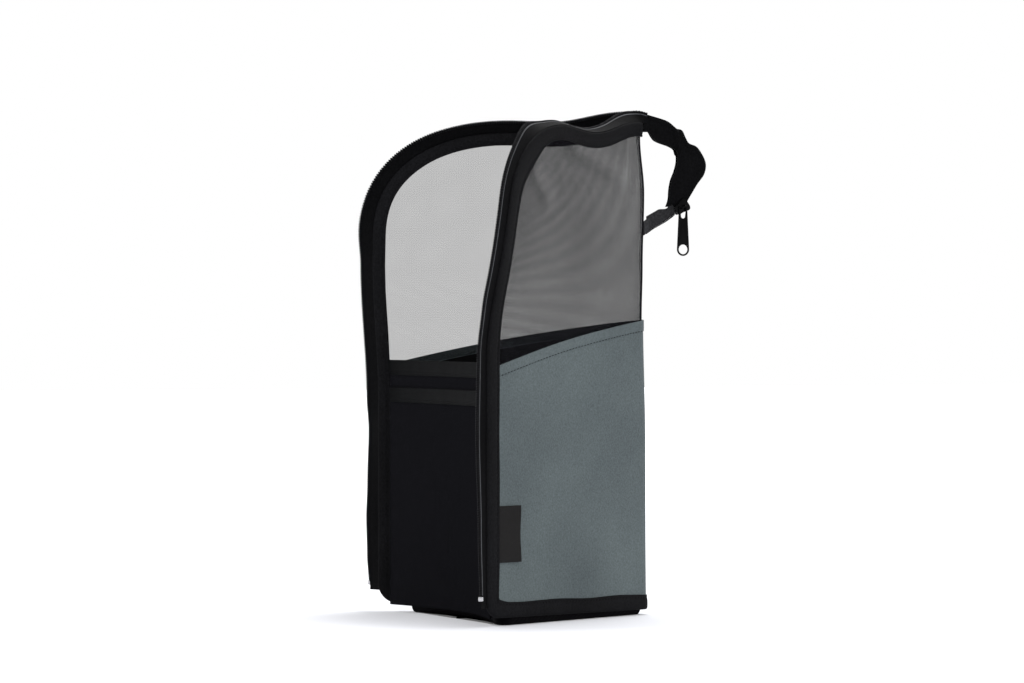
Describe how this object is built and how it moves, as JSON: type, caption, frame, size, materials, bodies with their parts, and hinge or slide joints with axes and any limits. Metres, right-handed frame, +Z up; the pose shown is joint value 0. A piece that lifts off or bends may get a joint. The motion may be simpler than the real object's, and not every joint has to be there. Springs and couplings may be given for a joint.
{
  "type": "mesh kitchen tool case",
  "caption": "Stand-up two-sided fabric and mesh case for long kitchen tools, hinged at its spine, with front mesh pockets, a zipped edge and a tape carrying loop.",
  "frame": {"origin": "flat underside of the base, a little in front of the middle of its depth, on the plane half way between the two sides", "axes": "+Z up, +Y back towards the spine and the carrying loop, +X towards the right-hand side panel that carries the bare label"},
  "size_m": [0.213, 0.2013, 0.3233],
  "materials": {
    "grey_cloth": "matt woven nylon, slate grey",
    "black_mesh": "open polyester net, black",
    "black_binding": "ribbed binding tape, black, stitched",
    "base_cloth": "matt woven cloth, black",
    "lining": "smooth coated lining, black",
    "zipper_tape": "herringbone zipper tape, black",
    "zipper_coil": "dark nylon coil",
    "end_stop_metal": "bright crimped metal",
    "black_enamel": "satin black enamel",
    "label_cloth": "bare woven label, charcoal"
  },
  "bodies": {
    "case_back": {"base": "base_cloth", "gusset_mesh": "black_mesh", "gusset_band": "black_binding", "pocket_mesh": "black_mesh", "pocket_band": "black_binding", "spine_cloth": "grey_cloth", "spine_mesh": "black_mesh", "spine_lining": "lining", "spine_foot_binding": "black_binding", "spine_top_binding": "black_binding", "spine_tape_left": "zipper_tape", "spine_tape_right": "zipper_tape", "spine_coil_left": "zipper_coil", "spine_coil_right": "zipper_coil", "loop_root": "zipper_tape", "loop_anchor": "zipper_tape"},
    "left_side": {"left_outer_panel": "grey_cloth", "left_mesh_window": "black_mesh", "left_lining": "lining", "left_edge_binding": "black_binding", "left_zip_tape": "zipper_tape", "left_zip_coil": "zipper_coil", "left_end_stop": "end_stop_metal"},
    "right_side": {"right_outer_panel": "grey_cloth", "right_mesh_window": "black_mesh", "right_lining": "lining", "right_edge_binding": "black_binding", "right_zip_tape": "zipper_tape", "right_zip_coil": "zipper_coil", "right_end_stop": "end_stop_metal", "side_label": "label_cloth"},
    "carrying_loop": {"loop_tape_left": "zipper_tape", "loop_tape_right": "zipper_tape", "loop_coil_left": "zipper_coil", "loop_coil_right": "zipper_coil", "loop_chain": "zipper_coil", "loop_strap": "zipper_tape"},
    "slider": {"slider_body": "black_enamel"},
    "pull_tab": {"pull_tab": "black_enamel"}
  },
  "joints": [
    {"name": "right_fold", "type": "hinge", "parent": "case_back", "child": "right_side", "pos_m": [0, 0.068, 0.16], "axis": [0, 0, -1], "range_deg": [0, 34.2], "deforming": ["base", "gusset_mesh", "gusset_band", "pocket_mesh", "pocket_band"]},
    {"name": "left_fold", "type": "hinge", "parent": "case_back", "child": "left_side", "pos_m": [0, 0.068, 0.16], "axis": [0, 0, 1], "range_deg": [0, 34.2], "deforming": ["base", "gusset_mesh", "gusset_band", "pocket_mesh", "pocket_band"]},
    {"name": "loop_swing", "type": "hinge", "parent": "case_back", "child": "carrying_loop", "pos_m": [0, 0.0803, 0.28], "axis": [0, 0, 1], "range_deg": [-75, 75]},
    {"name": "slider_run", "type": "slide", "parent": "carrying_loop", "child": "slider", "axis": [0, -0.8286, -0.5599], "range_m": [0, 0.014], "deforming": ["loop_chain"]},
    {"name": "tab_swing", "type": "hinge", "parent": "slider", "child": "pull_tab", "pos_m": [0.00325, 0.1035, 0.2615], "axis": [0, -1, 0], "range_deg": [0, 160]}
  ],
  "couplings": [
    {"joint": "left_fold", "follows": "right_fold", "ratio": 1}
  ]
}
